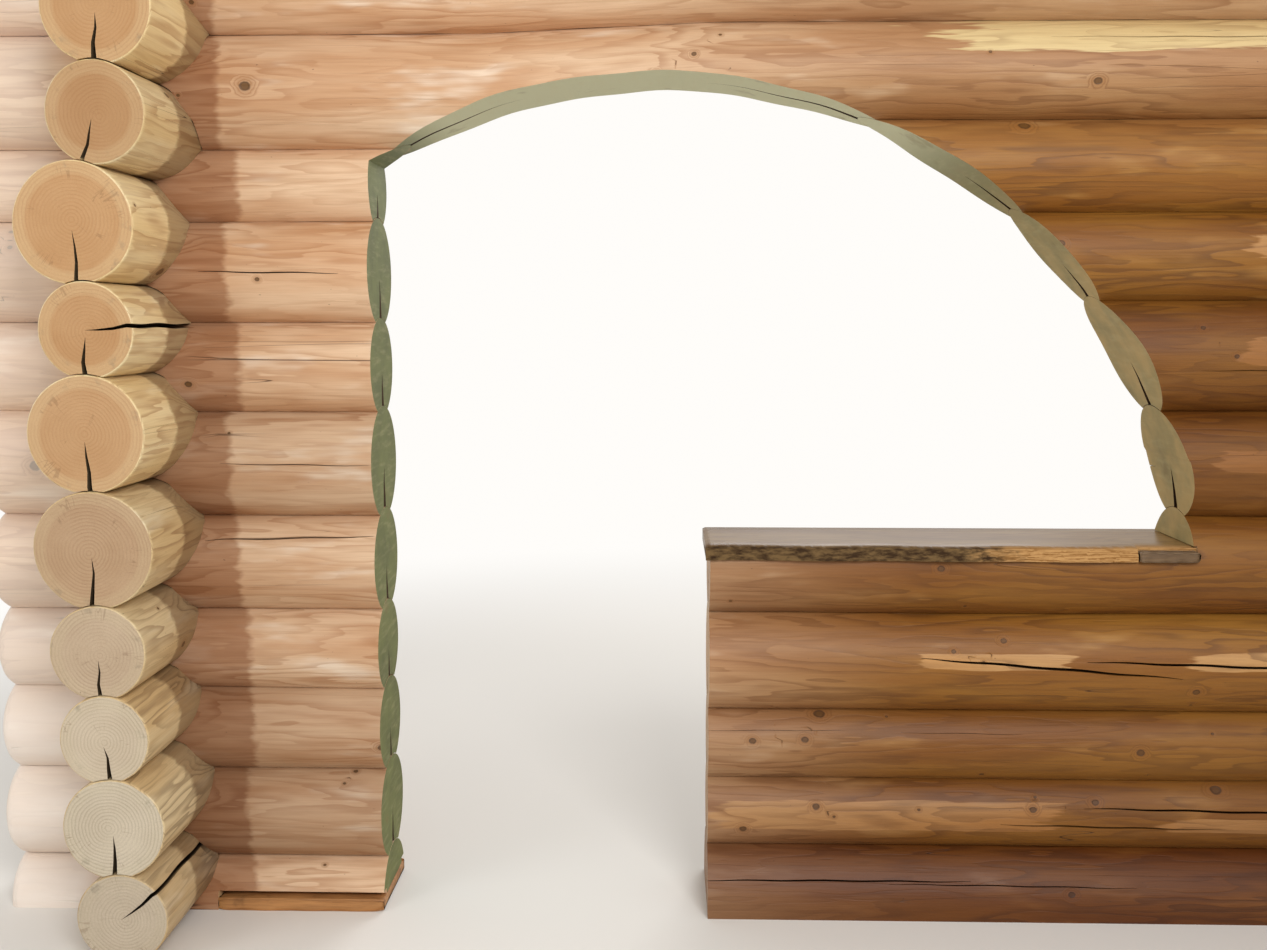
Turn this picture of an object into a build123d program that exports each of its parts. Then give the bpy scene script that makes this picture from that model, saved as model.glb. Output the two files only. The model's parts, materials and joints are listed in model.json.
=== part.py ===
"""Log partition wall with an arched opening and a breakfast counter.

Round logs are stacked in courses and cross two short walls at the corners. Every log
is scribed: its underside carries a long groove that fits the log below, and a saddle
that fits the log it crosses. One opening is cut through the finished stack, with a
straight left side, an arch, and a half wall that carries a slab.

+X runs along the wall, +Y goes through it and +Z is up. The origin is on the floor
under the middle of the wall.
"""

from build123d import *

import os
from math import asin, cos, hypot, radians, sin, sqrt

# Plan of the wall, in millimetres
corner_spacing = 3540.0
log_overhang = 430.0
half_wall_courses = 5
arch_courses = 4

# Heights of the scribed joints between wall logs, on each side of the walkway
joints_at_left = [127.0, 378.0, 605.0, 824.0, 1081.0, 1359.0, 1592.0, 1854.0, 2036.0, 2325.0]
joints_at_right = [174.0, 363.0, 557.0, 823.0, 1088.0, 1364.0, 1650.0, 1873.0, 2106.0, 2349.0]

# Heights of the joints between the logs of each crossing wall, and how far each log lies
# to the right of the corner's middle
joints_left_corner = [228.0, 474.0, 684.0, 908.0, 1191.0, 1467.0, 1684.0, 1963.0, 2186.0]
joints_right_corner = [243.0, 449.0, 681.0, 957.0, 1229.0, 1517.0, 1776.0, 2006.0, 2243.0]
drifts_left_corner = [18.0, 8.0, -3.0, -8.0, -7.0, -9.0, 4.0, -12.0, 52.0, 66.0]
drifts_right_corner = [-6.0, 9.0, 3.0, -11.0, 5.0, 12.0, -8.0, -14.0, 10.0, -9.0]

# The lowest and the highest logs
sill_centre_left = 5.0
sill_centre_right = 28.0
top_log_centre_left = 2445.0
top_log_centre_right = 2473.0
first_corner_log_centre = 118.0
last_corner_log_rise = 125.0

# The groove under each log, and the shrinkage check that opens from its pith
wall_groove_width = 135.0
corner_groove_width = 94.0
check_width = 11.0
check_below_pith = 16.0
side_checks = {"left_corner_log_1": 35.0, "left_corner_log_7": 2.0}

# Saddle scarfs, the slanting flats beside each crossing, and the eased ends of wall logs
scarf_reach = 250.0
end_easing = 18.0

# The board under the pier, with a shadow line over it on each side
sole_plate_thickness = 36.0
sole_plate_width = 276.0
sole_plate_setback = 150.0
sole_shadow_height = 15.0
sole_shadow_depth = 40.0

# The opening
jamb_from_left_corner = 605.0
walkway_width = 880.0
straight_past_jamb = 293.0
arch_centre_from_left_corner = 1350.0
arch_radius = 1430.0
arch_rise_into_header = 137.0
haunch_radius = 600.0
haunch_angle = 19.0

# The counter slab, its live edge and the block let into that edge
slab_seat_depth = 106.0
slab_thickness = 38.0
slab_overhang_end = 12.0
slab_half_width = 150.0
slab_end_housing = 9.0
wane_spread = 12.0
wane_ripple = [0.0, 6.0, -3.0, 5.0, -5.0, 4.0, -2.0, 3.0, 0.0]
edge_block_length = 155.0
edge_block_height = 28.0
edge_block_depth = 34.0

# Places worked out from the sizes above
left_corner_x = -corner_spacing / 2
right_corner_x = corner_spacing / 2
wall_end_x = corner_spacing / 2 + log_overhang
jamb_x = left_corner_x + jamb_from_left_corner
half_wall_x = jamb_x + walkway_width
taper_start_x = jamb_x + straight_past_jamb
header_course = half_wall_courses + arch_courses
through_wall = 2 * log_overhang
wall_groove_half = wall_groove_width / 2
corner_groove_half = corner_groove_width / 2


def along_wall(at_left, at_right, x):
    """Value at x of a size that is even on each side, and changes over the walkway."""
    share = (x - taper_start_x) / (half_wall_x - taper_start_x)
    return at_left + (at_right - at_left) * min(max(share, 0), 1)


def wall_joint(course, x):
    """Height at x of the joint on top of a course."""
    return along_wall(joints_at_left[course], joints_at_right[course], x)


def wall_circle(course, x):
    """Height of the middle of a wall log at x, and its radius there.

    The surface of the log meets the edges of the joints over and under it.
    """
    if course == 0:
        centre = along_wall(sill_centre_left, sill_centre_right, x)
    elif course > header_course:
        centre = along_wall(top_log_centre_left, top_log_centre_right, x)
    else:
        centre = (wall_joint(course - 1, x) + wall_joint(course, x)) / 2
    return centre, hypot(wall_groove_half, centre - wall_joint(max(course - 1, 0), x))


def corner_circle(joints, index):
    """Height of the middle of a crossing log, and its radius."""
    if index == 0:
        centre = first_corner_log_centre
    elif index == len(joints):
        centre = joints[-1] + last_corner_log_rise
    else:
        centre = (joints[index - 1] + joints[index]) / 2
    return centre, hypot(corner_groove_half, centre - joints[max(index - 1, 0)])


def groove_points(circle, below, drift):
    """Points round the groove of a log: edge, lip of the check, tip of the check, lip, edge.

    The groove and the check face the log below, which lies drift to the right.
    """
    pith = Vector(0, circle[0])
    pith_below = Vector(drift, below[0])
    apart = pith_below - pith
    down = apart.normalized()
    across = down.rotate(Axis.Z, 90)
    depth = (circle[1] ** 2 - below[1] ** 2 + apart.length**2) / (2 * apart.length)
    edge = across * sqrt(circle[1] ** 2 - depth**2)
    lip = across * (check_width / 2)
    top_below = pith_below - down * sqrt(below[1] ** 2 - lip.length**2)
    return (
        pith + down * depth - edge,
        top_below - lip,
        pith + down * check_below_pith,
        top_below + lip,
        pith + down * depth + edge,
    )


def groove_arc(below, drift, start, end):
    """Arc on the top of the log below, from one point of it to another."""
    pith_below = Vector(drift, below[0])
    bisector = ((start - pith_below) + (end - pith_below)).normalized()
    return ThreePointArc(start, pith_below + bisector * below[1], end)


def log_outline(circle, groove_half, below, drift=0):
    """Closed outline of a log: its round sides and top, and its foot.

    The foot is the groove over the circle below with the check that opens into it,
    or a flat on the floor where below is None.
    """
    centre, radius = circle
    shoulder = centre + sqrt(radius**2 - groove_half**2)
    left_shoulder = (-groove_half, shoulder)
    right_shoulder = (groove_half, shoulder)
    ThreePointArc(right_shoulder, (0, centre + radius), left_shoulder)
    if below is None:
        foot = sqrt(radius**2 - centre**2)
        ThreePointArc(left_shoulder, (-radius, centre), (-foot, 0))
        Line((-foot, 0), (foot, 0))
        ThreePointArc((foot, 0), (radius, centre), right_shoulder)
        return
    left_edge, left_lip, tip, right_lip, right_edge = groove_points(circle, below, drift)
    ThreePointArc(left_shoulder, (-radius, centre), left_edge)
    groove_arc(below, drift, left_edge, left_lip)
    Polyline(left_lip, tip, right_lip)
    groove_arc(below, drift, right_lip, right_edge)
    ThreePointArc(right_edge, (radius, centre), right_shoulder)


def scarf_cutter(crossing, along, circle, groove_half, side):
    """Wedge that takes one slanting flat off a log's shoulder and runs out both ways.

    At the crossing the flat goes from the edge of the joint to the widest point.
    """
    centre, radius = circle
    slant = asin(sqrt(radius**2 - groove_half**2) / radius) / 2
    across = Vector(0, 0, 1).cross(along)
    outward = across * (side * cos(slant)) + Vector(0, 0, sin(slant))
    depth = radius * cos(slant)
    reach = 2 * radius
    rise = (radius - depth) * reach / scarf_reach
    with BuildPart() as cutter:
        with BuildSketch(Plane(origin=crossing, x_dir=along, z_dir=along.cross(outward))):
            Polygon(
                (0, depth),
                (reach, depth + rise),
                (reach, depth + reach),
                (-reach, depth + reach),
                (-reach, depth + rise),
                align=None,
            )
        extrude(amount=reach, both=True)
    return cutter.part


def side_check_cutter(start, end, radius, angle):
    """Wedge-shaped check from the pith to the side of a log, all along it."""
    direction = end - start
    across = Vector(0, 0, 1).cross(direction).normalized()
    towards = across * cos(radians(angle)) + Vector(0, 0, sin(radians(angle)))
    reach = radius + check_width
    with BuildPart() as cutter:
        with BuildSketch(Plane(origin=start, x_dir=towards, z_dir=direction)):
            Polygon((0, 0), (reach, check_width / 2), (reach, -check_width / 2), align=None)
        extrude(amount=direction.length)
    return cutter.part


def cut_scarfs(crossing, along, circle, groove_half):
    """Cuts the scarfs of a log out of the part being built."""
    for side in (-1, 1):
        add(scarf_cutter(crossing, along, circle, groove_half, side), mode=Mode.SUBTRACT)


def log_seat(crossing, along, circle, groove_half):
    """The scarfed log round a crossing, in the round, that the next log is notched over."""
    with BuildPart() as seat:
        with BuildSketch(Plane(origin=crossing, x_dir=(0, 0, -1), z_dir=along)):
            Circle(circle[1])
        extrude(amount=log_overhang, both=True)
        cut_scarfs(crossing, along, circle, groove_half)
    return seat.part


def wall_section(course, x):
    """Cross-section of a wall log at x."""
    with BuildSketch(Plane.YZ.offset(x)) as section:
        with BuildLine():
            below = wall_circle(course - 1, x) if course else None
            log_outline(wall_circle(course, x), wall_groove_half, below)
        make_face()
    return section.sketch


def write(part, name):
    """Labels a finished piece and writes it as its own file."""
    part.label = name
    export_step(part, f"parts/{name}.step")


os.makedirs("parts", exist_ok=True)

# The arch: a wide arc over the walkway, and a tighter haunch down to the counter
arch_centre_x = left_corner_x + arch_centre_from_left_corner
arch_crown = wall_joint(header_course - 1, arch_centre_x) + arch_rise_into_header
arch_centre = Vector(arch_centre_x, arch_crown - arch_radius)
haunch_direction = Vector(cos(radians(haunch_angle)), sin(radians(haunch_angle)))
haunch_centre = arch_centre + haunch_direction * (arch_radius - haunch_radius)
spring_height = arch_centre.Y + sqrt(arch_radius**2 - (jamb_x - arch_centre.X) ** 2)

# The counter, whose seat is cut into the highest log of the half wall
slab_underside = wall_joint(half_wall_courses - 1, arch_centre_x) - slab_seat_depth
counter_height = slab_underside + slab_thickness


def haunch_x(height):
    """Where the haunch of the arch is, at a height."""
    return haunch_centre.X + sqrt(haunch_radius**2 - (height - haunch_centre.Y) ** 2)


with BuildPart() as opening:
    with BuildSketch(Plane.XZ):
        with BuildLine():
            spring = (jamb_x, spring_height)
            foot = (haunch_x(slab_underside), slab_underside)
            haunch_start = arch_centre + haunch_direction * arch_radius
            haunch_middle = haunch_centre + Vector(haunch_radius, 0).rotate(Axis.Z, haunch_angle / 2)
            ThreePointArc(spring, (arch_centre.X, arch_crown), haunch_start)
            ThreePointArc(haunch_start, haunch_middle, foot)
            Polyline(
                foot,
                (half_wall_x, slab_underside),
                (half_wall_x, -through_wall),
                (jamb_x, -through_wall),
                spring,
            )
        make_face()
    extrude(amount=through_wall, both=True)

# The live-edge slab: its front edge ripples and spreads towards the underside
slab_left = half_wall_x - slab_overhang_end
slab_right = haunch_x(counter_height) + slab_end_housing


def slab_outline(spread):
    """Closed outline of the slab, with its rippled front edge moved out by spread."""
    last = len(wane_ripple) - 1
    front = [
        (slab_left + (slab_right - slab_left) * i / last, -slab_half_width - spread + ripple)
        for i, ripple in enumerate(wane_ripple)
    ]
    edge = Spline(*front)
    Polyline(edge @ 1, (slab_right, slab_half_width), (slab_left, slab_half_width), edge @ 0)


with BuildPart() as edge_block:
    with Locations((slab_right, -slab_half_width - wane_spread, slab_underside)):
        Box(
            edge_block_length,
            edge_block_depth,
            edge_block_height,
            align=(Align.MAX, Align.MIN, Align.MIN),
        )
write(edge_block.part, "counter_edge_block")

with BuildPart() as counter_slab:
    with BuildSketch(Plane.XY.offset(slab_underside)):
        with BuildLine():
            slab_outline(wane_spread)
        make_face()
    with BuildSketch(Plane.XY.offset(counter_height)):
        with BuildLine():
            slab_outline(0)
        make_face()
    loft()
    block_room = edge_block.part.bounding_box()
    with Locations((slab_right, block_room.max.Y, slab_underside)):
        Box(
            edge_block_length,
            through_wall,
            edge_block_height,
            align=(Align.MAX, Align.MAX, Align.MIN),
            mode=Mode.SUBTRACT,
        )
write(counter_slab.part, "counter_slab")

# The board under the pier, and the room it takes from the lowest log
sole_plate_length = jamb_from_left_corner - sole_plate_setback
with BuildPart() as pier_sole_plate:
    with Locations((jamb_x, 0, 0)):
        Box(
            sole_plate_length,
            sole_plate_width,
            sole_plate_thickness,
            align=(Align.MAX, Align.CENTER, Align.MIN),
        )
write(pier_sole_plate.part, "pier_sole_plate")

with BuildPart() as pier_sole_room:
    with BuildSketch(Plane.YZ.offset(jamb_x - sole_plate_length)):
        with Locations((0, sole_plate_thickness)):
            Rectangle(through_wall, through_wall, align=(Align.CENTER, Align.MAX))
            Rectangle(through_wall, sole_shadow_height, align=(Align.CENTER, Align.MIN))
            Rectangle(
                sole_plate_width - 2 * sole_shadow_depth,
                sole_shadow_height,
                align=(Align.CENTER, Align.MIN),
                mode=Mode.SUBTRACT,
            )
    extrude(amount=2 * sole_plate_length)

# The stack, from the floor up: a wall log, then a log across each corner
corners = {
    "left_corner_log": (left_corner_x, joints_left_corner, drifts_left_corner),
    "right_corner_log": (right_corner_x, joints_right_corner, drifts_right_corner),
}
along_x = Vector(1, 0, 0)
along_y = Vector(0, 1, 0)
lower_corner_seats = []

for course in range(header_course + 2):
    number = course + 1
    with BuildPart() as wall_log:
        extrude(wall_section(course, -wall_end_x), amount=wall_end_x + taper_start_x)
        extrude(wall_section(course, half_wall_x), amount=wall_end_x - half_wall_x)
        loft([wall_section(course, taper_start_x), wall_section(course, half_wall_x)], ruled=True)
        rims = wall_log.edges().filter_by(GeomType.CIRCLE).group_by(Axis.X)
        chamfer([edge for edge in rims[0] + rims[-1] if edge.length > wall_groove_width], end_easing)
        if course <= header_course:
            for corner_x, _, drifts in corners.values():
                x = corner_x + drifts[course]
                circle = wall_circle(course, x)
                cut_scarfs(Vector(x, 0, circle[0]), along_x, circle, wall_groove_half)
        for seat in lower_corner_seats:
            add(seat, mode=Mode.SUBTRACT)
        if course == 0:
            add(pier_sole_room.part, mode=Mode.SUBTRACT)
        add(opening.part, mode=Mode.SUBTRACT)
        add(counter_slab.part, mode=Mode.SUBTRACT)
        add(edge_block.part, mode=Mode.SUBTRACT)
    pieces = wall_log.part.solids().sort_by(Axis.X)
    print("course", number, [round(piece.volume) for piece in pieces])
    if course > header_course:
        write(pieces[0], "top_log")
        break
    if course == header_course:
        write(pieces[0], "header_log")
    else:
        write(pieces[0], f"pier_log_{number}")
        right_name = "half_wall_log" if course < half_wall_courses else "arch_log"
        write(pieces[-1], f"{right_name}_{number}")

    lower_corner_seats = []
    for corner, (corner_x, joints, drifts) in corners.items():
        name = f"{corner}_{number}"
        x = corner_x + drifts[course]
        wall_seat_circle = wall_circle(course, x)
        wall_seat = log_seat(Vector(x, 0, wall_seat_circle[0]), along_x, wall_seat_circle, wall_groove_half)
        circle = corner_circle(joints, course)
        crossing = Vector(x, 0, circle[0])
        with BuildPart() as corner_log:
            with BuildSketch(Plane(origin=(x, log_overhang, 0), x_dir=along_x, z_dir=-along_y)):
                with BuildLine():
                    below = corner_circle(joints, course - 1) if course else None
                    drift = drifts[course - 1] - drifts[course] if course else 0
                    log_outline(circle, corner_groove_half, below, drift)
                make_face()
            extrude(amount=through_wall)
            cut_scarfs(crossing, along_y, circle, corner_groove_half)
            add(wall_seat, mode=Mode.SUBTRACT)
            if name in side_checks:
                start = crossing - along_y * log_overhang
                end = crossing + along_y * log_overhang
                add(side_check_cutter(start, end, circle[1], side_checks[name]), mode=Mode.SUBTRACT)
        write(corner_log.part, name)
        lower_corner_seats.append(log_seat(crossing, along_y, circle, corner_groove_half))
        print(name, len(corner_log.part.solids()), round(corner_log.part.volume))
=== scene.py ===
"""Looks of the log partition wall: scribed round logs with a sawn and painted opening.

Every log is a round mesh with drawknife flats and swellings, notched over the logs
below it with booleans, as the real ones are scribed. Lengths are in metres.
"""

import json
from math import atan2, cos, pi, radians, sin, sqrt

import bmesh
import bpy
import numpy as np
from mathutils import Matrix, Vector

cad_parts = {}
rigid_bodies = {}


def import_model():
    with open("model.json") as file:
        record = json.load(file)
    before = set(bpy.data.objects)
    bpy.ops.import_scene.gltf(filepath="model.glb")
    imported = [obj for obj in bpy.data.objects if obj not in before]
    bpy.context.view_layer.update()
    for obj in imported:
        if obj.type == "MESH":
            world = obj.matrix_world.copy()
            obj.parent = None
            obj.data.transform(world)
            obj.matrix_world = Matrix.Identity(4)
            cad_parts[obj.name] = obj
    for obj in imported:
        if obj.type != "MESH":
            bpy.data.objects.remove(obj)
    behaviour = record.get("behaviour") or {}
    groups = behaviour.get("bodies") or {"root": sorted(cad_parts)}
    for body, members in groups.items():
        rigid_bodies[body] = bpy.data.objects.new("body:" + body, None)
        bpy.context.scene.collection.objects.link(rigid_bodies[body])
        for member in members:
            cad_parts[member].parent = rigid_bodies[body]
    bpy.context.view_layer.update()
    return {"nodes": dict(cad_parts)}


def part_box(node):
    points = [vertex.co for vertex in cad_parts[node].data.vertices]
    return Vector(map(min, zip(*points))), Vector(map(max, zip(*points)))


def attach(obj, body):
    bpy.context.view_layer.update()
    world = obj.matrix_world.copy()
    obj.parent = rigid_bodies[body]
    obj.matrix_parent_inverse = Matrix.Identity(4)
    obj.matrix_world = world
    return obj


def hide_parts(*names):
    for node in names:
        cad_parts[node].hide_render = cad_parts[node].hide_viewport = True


for leftover in list(bpy.data.objects):
    bpy.data.objects.remove(leftover)
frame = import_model()

# How finely the meshes are made
slab_stations = 170
board_stations = 60
ring_points = 88
station_spacing = 0.0155

# Joints between logs: the dark gap left by the scribing, and how it wavers
scribe_gap = {"X": 0.0013, "Y": 0.0026}
scribe_gap_waver = 0.0009

# Drawknife flats: how many there are, and how deep and long they are at most, on wall
# logs (along X) and on crossing logs (along Y)
flats_per_metre = {"X": 5, "Y": 20}
flat_depth = {"X": 0.0034, "Y": 0.0062}
flat_reach = {"X": 0.34, "Y": 0.20}

# Swellings on each log
swellings = 7

# Ends of logs
wall_end_rounding = 0.028
corner_end_rounding = 0.005
face_margin = 0.003
former_overrun = 0.03

# The scarfs beside each crossing
scarf_reach = 0.25
wall_groove_half = 0.0675
corner_groove_half = 0.047

# Room left round the slab and the small block
fit = Vector((0.0003, 0.0003, 0.0003))

# The board under the pier, and the shadow line over it
sole_fit = 0.0005
under_sole = 0.1
sole_shadow_height = 0.015
sole_shadow_depth = 0.04
past_pier = 0.4

# The opening
below_floor = 0.3
arch_radius = 1.43
haunch_radius = 0.6
haunch_angle = radians(19)
arch_centre_x = -0.42
through_wall = 0.9

# Logs reach this far into the opening before it is cut, and taper from this far past the jamb
into_opening = 0.12
taper_run = 0.293

# The size of a wall log is read this far left of the jamb, and right of this place
plain_margin = 0.1
plain_right_x = 1.2

# Faces this near the cut of the opening are painted
jamb_reach = 0.001
arch_reach = 0.006

# Knots, and how dark some logs are: 0 for the plain colour
knots_per_metre = 7
knot_sizes = [0.004, 0.006, 0.009, 0.014]
log_tints = {
    "half_wall_log_1": 1.3,
    "half_wall_log_2": 0.7,
    "half_wall_log_5": 0.5,
    "arch_log_6": 0.95,
    "arch_log_7": 0.8,
    "arch_log_8": 0.35,
    "pier_log_2": 0.9,
    "pier_log_3": 0.7,
    "pier_log_8": 0.0,
    "pier_log_9": 0.0,
    "arch_log_9": 0.0,
    "header_log": 0.08,
    "top_log": 0.0,
    "left_corner_log_1": 0.35,
}

# Shrinkage checks
check_mouth = {"X": 0.030, "Y": 0.013}
check_waver = 0.010
check_shadow_depth = 0.009
check_depth = 0.016
check_overrun = 0.01
check_spacing = 0.02
past_surface = 1.12
side_check_mouth = 0.011
face_check_seed = 500
side_check_seed = 900

# How far apart the logs lie in the noise of the grain
grain_shift = 7.3

# Places and heights between which the pale outer ends of the wall logs fade
pale_ends = (-2.02, -1.88)
pale_heights = (0.3, 1.2)

# Places between which the wall turns browner and darker, partly painted shade of the light falling off to
# the right, and heights between which that weakens
shade_and_brown_places = (-0.9, 0.35)
shade_and_brown_heights = (2.0, 2.3)

# Index of refraction of the finishes
wood_gloss = 1.38
paint_gloss = 1.3
varnish_gloss = 1.14

# Edges sharper than this stay sharp
sharp_log_edge = radians(32)
sharp_board_edge = radians(50)

# Camera and light
camera_place = (-0.405, -3.35, 1.60)
camera_pitch = radians(7.07)
camera_yaw = radians(1.43)
camera_lens = 35.52
camera_sensor = 36.0
world_light = 0.62


def vectors(elements, key):
    """A vector of each vertex or face, as an array."""
    values = np.zeros(len(elements) * 3)
    elements.foreach_get(key, values)
    return values.reshape(-1, 3)


def node_points(name):
    """Vertices of a CAD node, as an array."""
    return vectors(frame["nodes"][name].data.vertices, "co")


def circle_of(points, across):
    """Height of the middle and radius of a log, from points all round it."""
    radius = (points[:, across].max() - points[:, across].min()) / 2
    return points[:, 2].max() - radius, radius


def smooth(low, high, x):
    """0 below low and 1 above high, with a smooth change between."""
    t = np.clip((x - low) / (high - low), 0, 1)
    return t * t * (3 - 2 * t)


def mesh_object(name, points, faces, smooth_faces=True):
    """Object with its own mesh, made of points and faces."""
    mesh = bpy.data.meshes.new(name)
    mesh.from_pydata([tuple(point) for point in points], [], faces)
    mesh.validate()
    if smooth_faces:
        mesh.polygons.foreach_set("use_smooth", [True] * len(mesh.polygons))
    piece = bpy.data.objects.new(name, mesh)
    bpy.context.scene.collection.objects.link(piece)
    return piece


def tube(rings):
    """Points and faces of a closed tube through rings of points, each ring an array."""
    count = len(rings[0])
    points = np.concatenate(rings)
    last = len(points) - count
    faces = []
    for a in range(0, last, count):
        b = a + count
        for j in range(count):
            k = (j + 1) % count
            faces.append((a + j, a + k, b + k, b + j))
    faces.append(tuple(range(count - 1, -1, -1)))
    faces.append(tuple(range(last, last + count)))
    return points, faces


def split_large_faces(piece):
    """Triangulates the faces of more than four corners, and turns all faces outward."""
    shape = bmesh.new()
    shape.from_mesh(piece.data)
    if shape.calc_volume(signed=True) < 0:
        bmesh.ops.reverse_faces(shape, faces=shape.faces)
    bmesh.ops.triangulate(shape, faces=[face for face in shape.faces if len(face.verts) > 4])
    shape.to_mesh(piece.data)
    shape.free()


def bounds_touch(one, other):
    """Whether the boxes round two objects overlap."""
    boxes = []
    for piece in (one, other):
        points = vectors(piece.data.vertices, "co")
        boxes.append((points.min(0), points.max(0)))
    (low, high), (other_low, other_high) = boxes
    return np.all(low < other_high) and np.all(other_low < high)


def carve(piece, cutters):
    """Cuts the cutters out of a piece, one after another."""
    for cutter in cutters:
        if not bounds_touch(piece, cutter):
            continue
        split_large_faces(piece)
        split_large_faces(cutter)
        step = piece.modifiers.new(cutter.name, "BOOLEAN")
        step.operation = "DIFFERENCE"
        step.solver = "MANIFOLD"
        step.object = cutter
        bpy.context.view_layer.update()
        graph = bpy.context.evaluated_depsgraph_get()
        carved = bpy.data.meshes.new_from_object(piece.evaluated_get(graph))
        piece.modifiers.clear()
        old = piece.data
        piece.data = carved
        bpy.data.meshes.remove(old)
    return piece


def discard(objects):
    """Removes helper objects and their meshes."""
    for helper in objects:
        mesh = helper.data
        bpy.data.objects.remove(helper)
        bpy.data.meshes.remove(mesh)


# Places read from the frame
jamb_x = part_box("pier_log_5")[1].x
half_wall_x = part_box("half_wall_log_3")[0].x
counter_low, counter_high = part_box("counter_slab")
crown_points = node_points("header_log")
near_crown = np.abs(crown_points[:, 0] - arch_centre_x) < 0.2
arch_crown = crown_points[near_crown][:, 2].min()
arch_centre_z = arch_crown - arch_radius
haunch_centre_x = arch_centre_x + (arch_radius - haunch_radius) * cos(haunch_angle)
haunch_centre_z = arch_centre_z + (arch_radius - haunch_radius) * sin(haunch_angle)
taper_start_x = jamb_x + taper_run

# Pale strips of sapwood: node, from, to, angle round the log, reach, how pale
pale_strips = [
    ("half_wall_log_2", -0.29, 0.66, pi - 0.05, 0.044, 0.50),
    ("half_wall_log_4", 0.27, 0.66, pi - 0.15, 0.022, 0.55),
    ("half_wall_log_4", 0.95, 1.6, pi - 0.18, 0.026, 0.60),
    ("half_wall_log_2", 0.93, 1.5, pi + 0.12, 0.022, 0.50),
    ("header_log", 0.25, 2.2, pi - 0.72, 0.070, 0.95),
    ("arch_log_8", 1.06, 1.5, pi - 0.17, 0.034, 0.55),
    ("arch_log_7", 1.04, 1.45, pi - 0.1, 0.04, 0.50),
    ("arch_log_6", 1.0, 1.4, pi - 0.1, 0.032, 0.45),
]
# Knots seen in the photograph: node, place, angle round the log, size
placed_knots = [
    ("header_log", -1.457, pi, 0.013),
    ("header_log", 0.667, pi + 0.3, 0.010),
    ("half_wall_log_3", 0.861, pi, 0.010),
    ("half_wall_log_3", -0.167, pi - 0.2, 0.009),
    ("half_wall_log_4", 0.990, pi + 0.41, 0.009),
    ("half_wall_log_4", 0.486, pi - 0.54, 0.008),
]


class Log:
    """A round log, with the small swellings and flats of its own surface."""

    def __init__(self, name, number, axis, start, end, offset, circles):
        self.name = name
        self.number = number
        self.axis = axis
        self.start = start
        self.end = end
        self.offset = offset
        self.circles = circles
        random = np.random.default_rng(100 + number)
        self.waves = [
            (
                random.uniform(0.0006, 0.0016),
                random.uniform(0.8, 5.0),
                int(random.integers(1, 4)),
                random.uniform(0, 2 * pi),
                random.uniform(0, 2 * pi),
            )
            for _ in range(swellings)
        ]
        length = end - start
        self.flats = [
            (
                random.uniform(start, end),
                random.uniform(0, 2 * pi),
                random.uniform(0.0008, flat_depth[axis]),
                random.uniform(0.10, flat_reach[axis]),
            )
            for _ in range(int(flats_per_metre[axis] * length))
        ]
        self.checks = []
        self.pith = random.uniform(-0.012, 0.012, 2)
        self.tint = log_tints.get(name, random.uniform(0, 0.55))
        # How far from the crossing the painted shade of the inner corner reaches
        self.corner_shade_band = random.uniform(0.2, 0.24)
        self.knots = [
            (random.uniform(start, end), random.uniform(0, 2 * pi), random.choice(knot_sizes))
            for _ in range(int(knots_per_metre * length))
        ]
        self.knots += [knot[1:] for knot in placed_knots if knot[0] == name]

    def place(self, s, across, up):
        """Coordinates of a place in the log: along it, across it, and its height."""
        if self.axis == "X":
            return s, across, up
        return across, -s, up

    def circle(self, s):
        """Height of the middle, and radius, at s."""
        (s0, centre0, radius0), (s1, centre1, radius1) = self.circles
        t = np.clip((s - s0) / (s1 - s0), 0, 1)
        return centre0 + (centre1 - centre0) * t, radius0 + (radius1 - radius0) * t

    def radius(self, s, angle):
        """Distance from the middle to the surface, at s and at an angle round the log."""
        _, full = self.circle(s)
        r = np.full_like(angle, 1.0) * full
        for height, per_metre, around, phase, turn in self.waves:
            r -= height * (1 + np.sin(per_metre * s + phase) * np.sin(around * angle + turn)) / 2
        for place, facing, depth, reach in self.flats:
            away = (s - place) / reach
            if abs(away) < 1.6:
                lean = np.cos(angle - facing)
                flat = (full - depth * (1 - away * away)) / np.maximum(lean, 0.2)
                r = np.minimum(r, np.where(lean > 0.5, flat, r))
        return r

    def ring(self, s, inset=0.0, grow=0.0):
        """Points round the log at s."""
        angle = np.linspace(0, 2 * pi, ring_points, endpoint=False)
        centre, _ = self.circle(s)
        r = self.radius(s, angle) - inset + grow
        across = self.offset + r * np.cos(angle)
        up = centre + r * np.sin(angle)
        return np.stack(self.place(np.full_like(angle, s), across, up), 1)

    def body(self, rounding):
        """The log itself, its ends rounded over."""
        turn = [(rounding * (1 - cos(a)), rounding * (1 - sin(a))) for a in np.linspace(0, pi / 2, 5)]
        count = max(int((self.end - self.start - 2 * rounding) / station_spacing), 2)
        middle = np.linspace(self.start + rounding, self.end - rounding, count + 1)[1:-1]
        face_inset = rounding + face_margin
        rings = [self.ring(self.start, face_inset)]
        rings += [self.ring(self.start + easing, inset) for easing, inset in turn]
        rings += [self.ring(s) for s in middle]
        rings += [self.ring(self.end - easing, inset) for easing, inset in reversed(turn)]
        rings.append(self.ring(self.end, face_inset))
        return mesh_object(self.name, *tube(rings))

    def former(self, scarfs):
        """The log grown by the scribing gap, to cut the logs that lie on it."""
        start, end = self.start - former_overrun, self.end + former_overrun
        count = int((end - start) / station_spacing)
        rings = []
        for s in np.linspace(start, end, count + 1):
            gap = scribe_gap[self.axis] + scribe_gap_waver * sin(9.0 * s + self.number) * sin(23.0 * s)
            rings.append(self.ring(s, grow=gap))
        return carve(mesh_object(self.name + "_former", *tube(rings)), scarfs)


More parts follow.
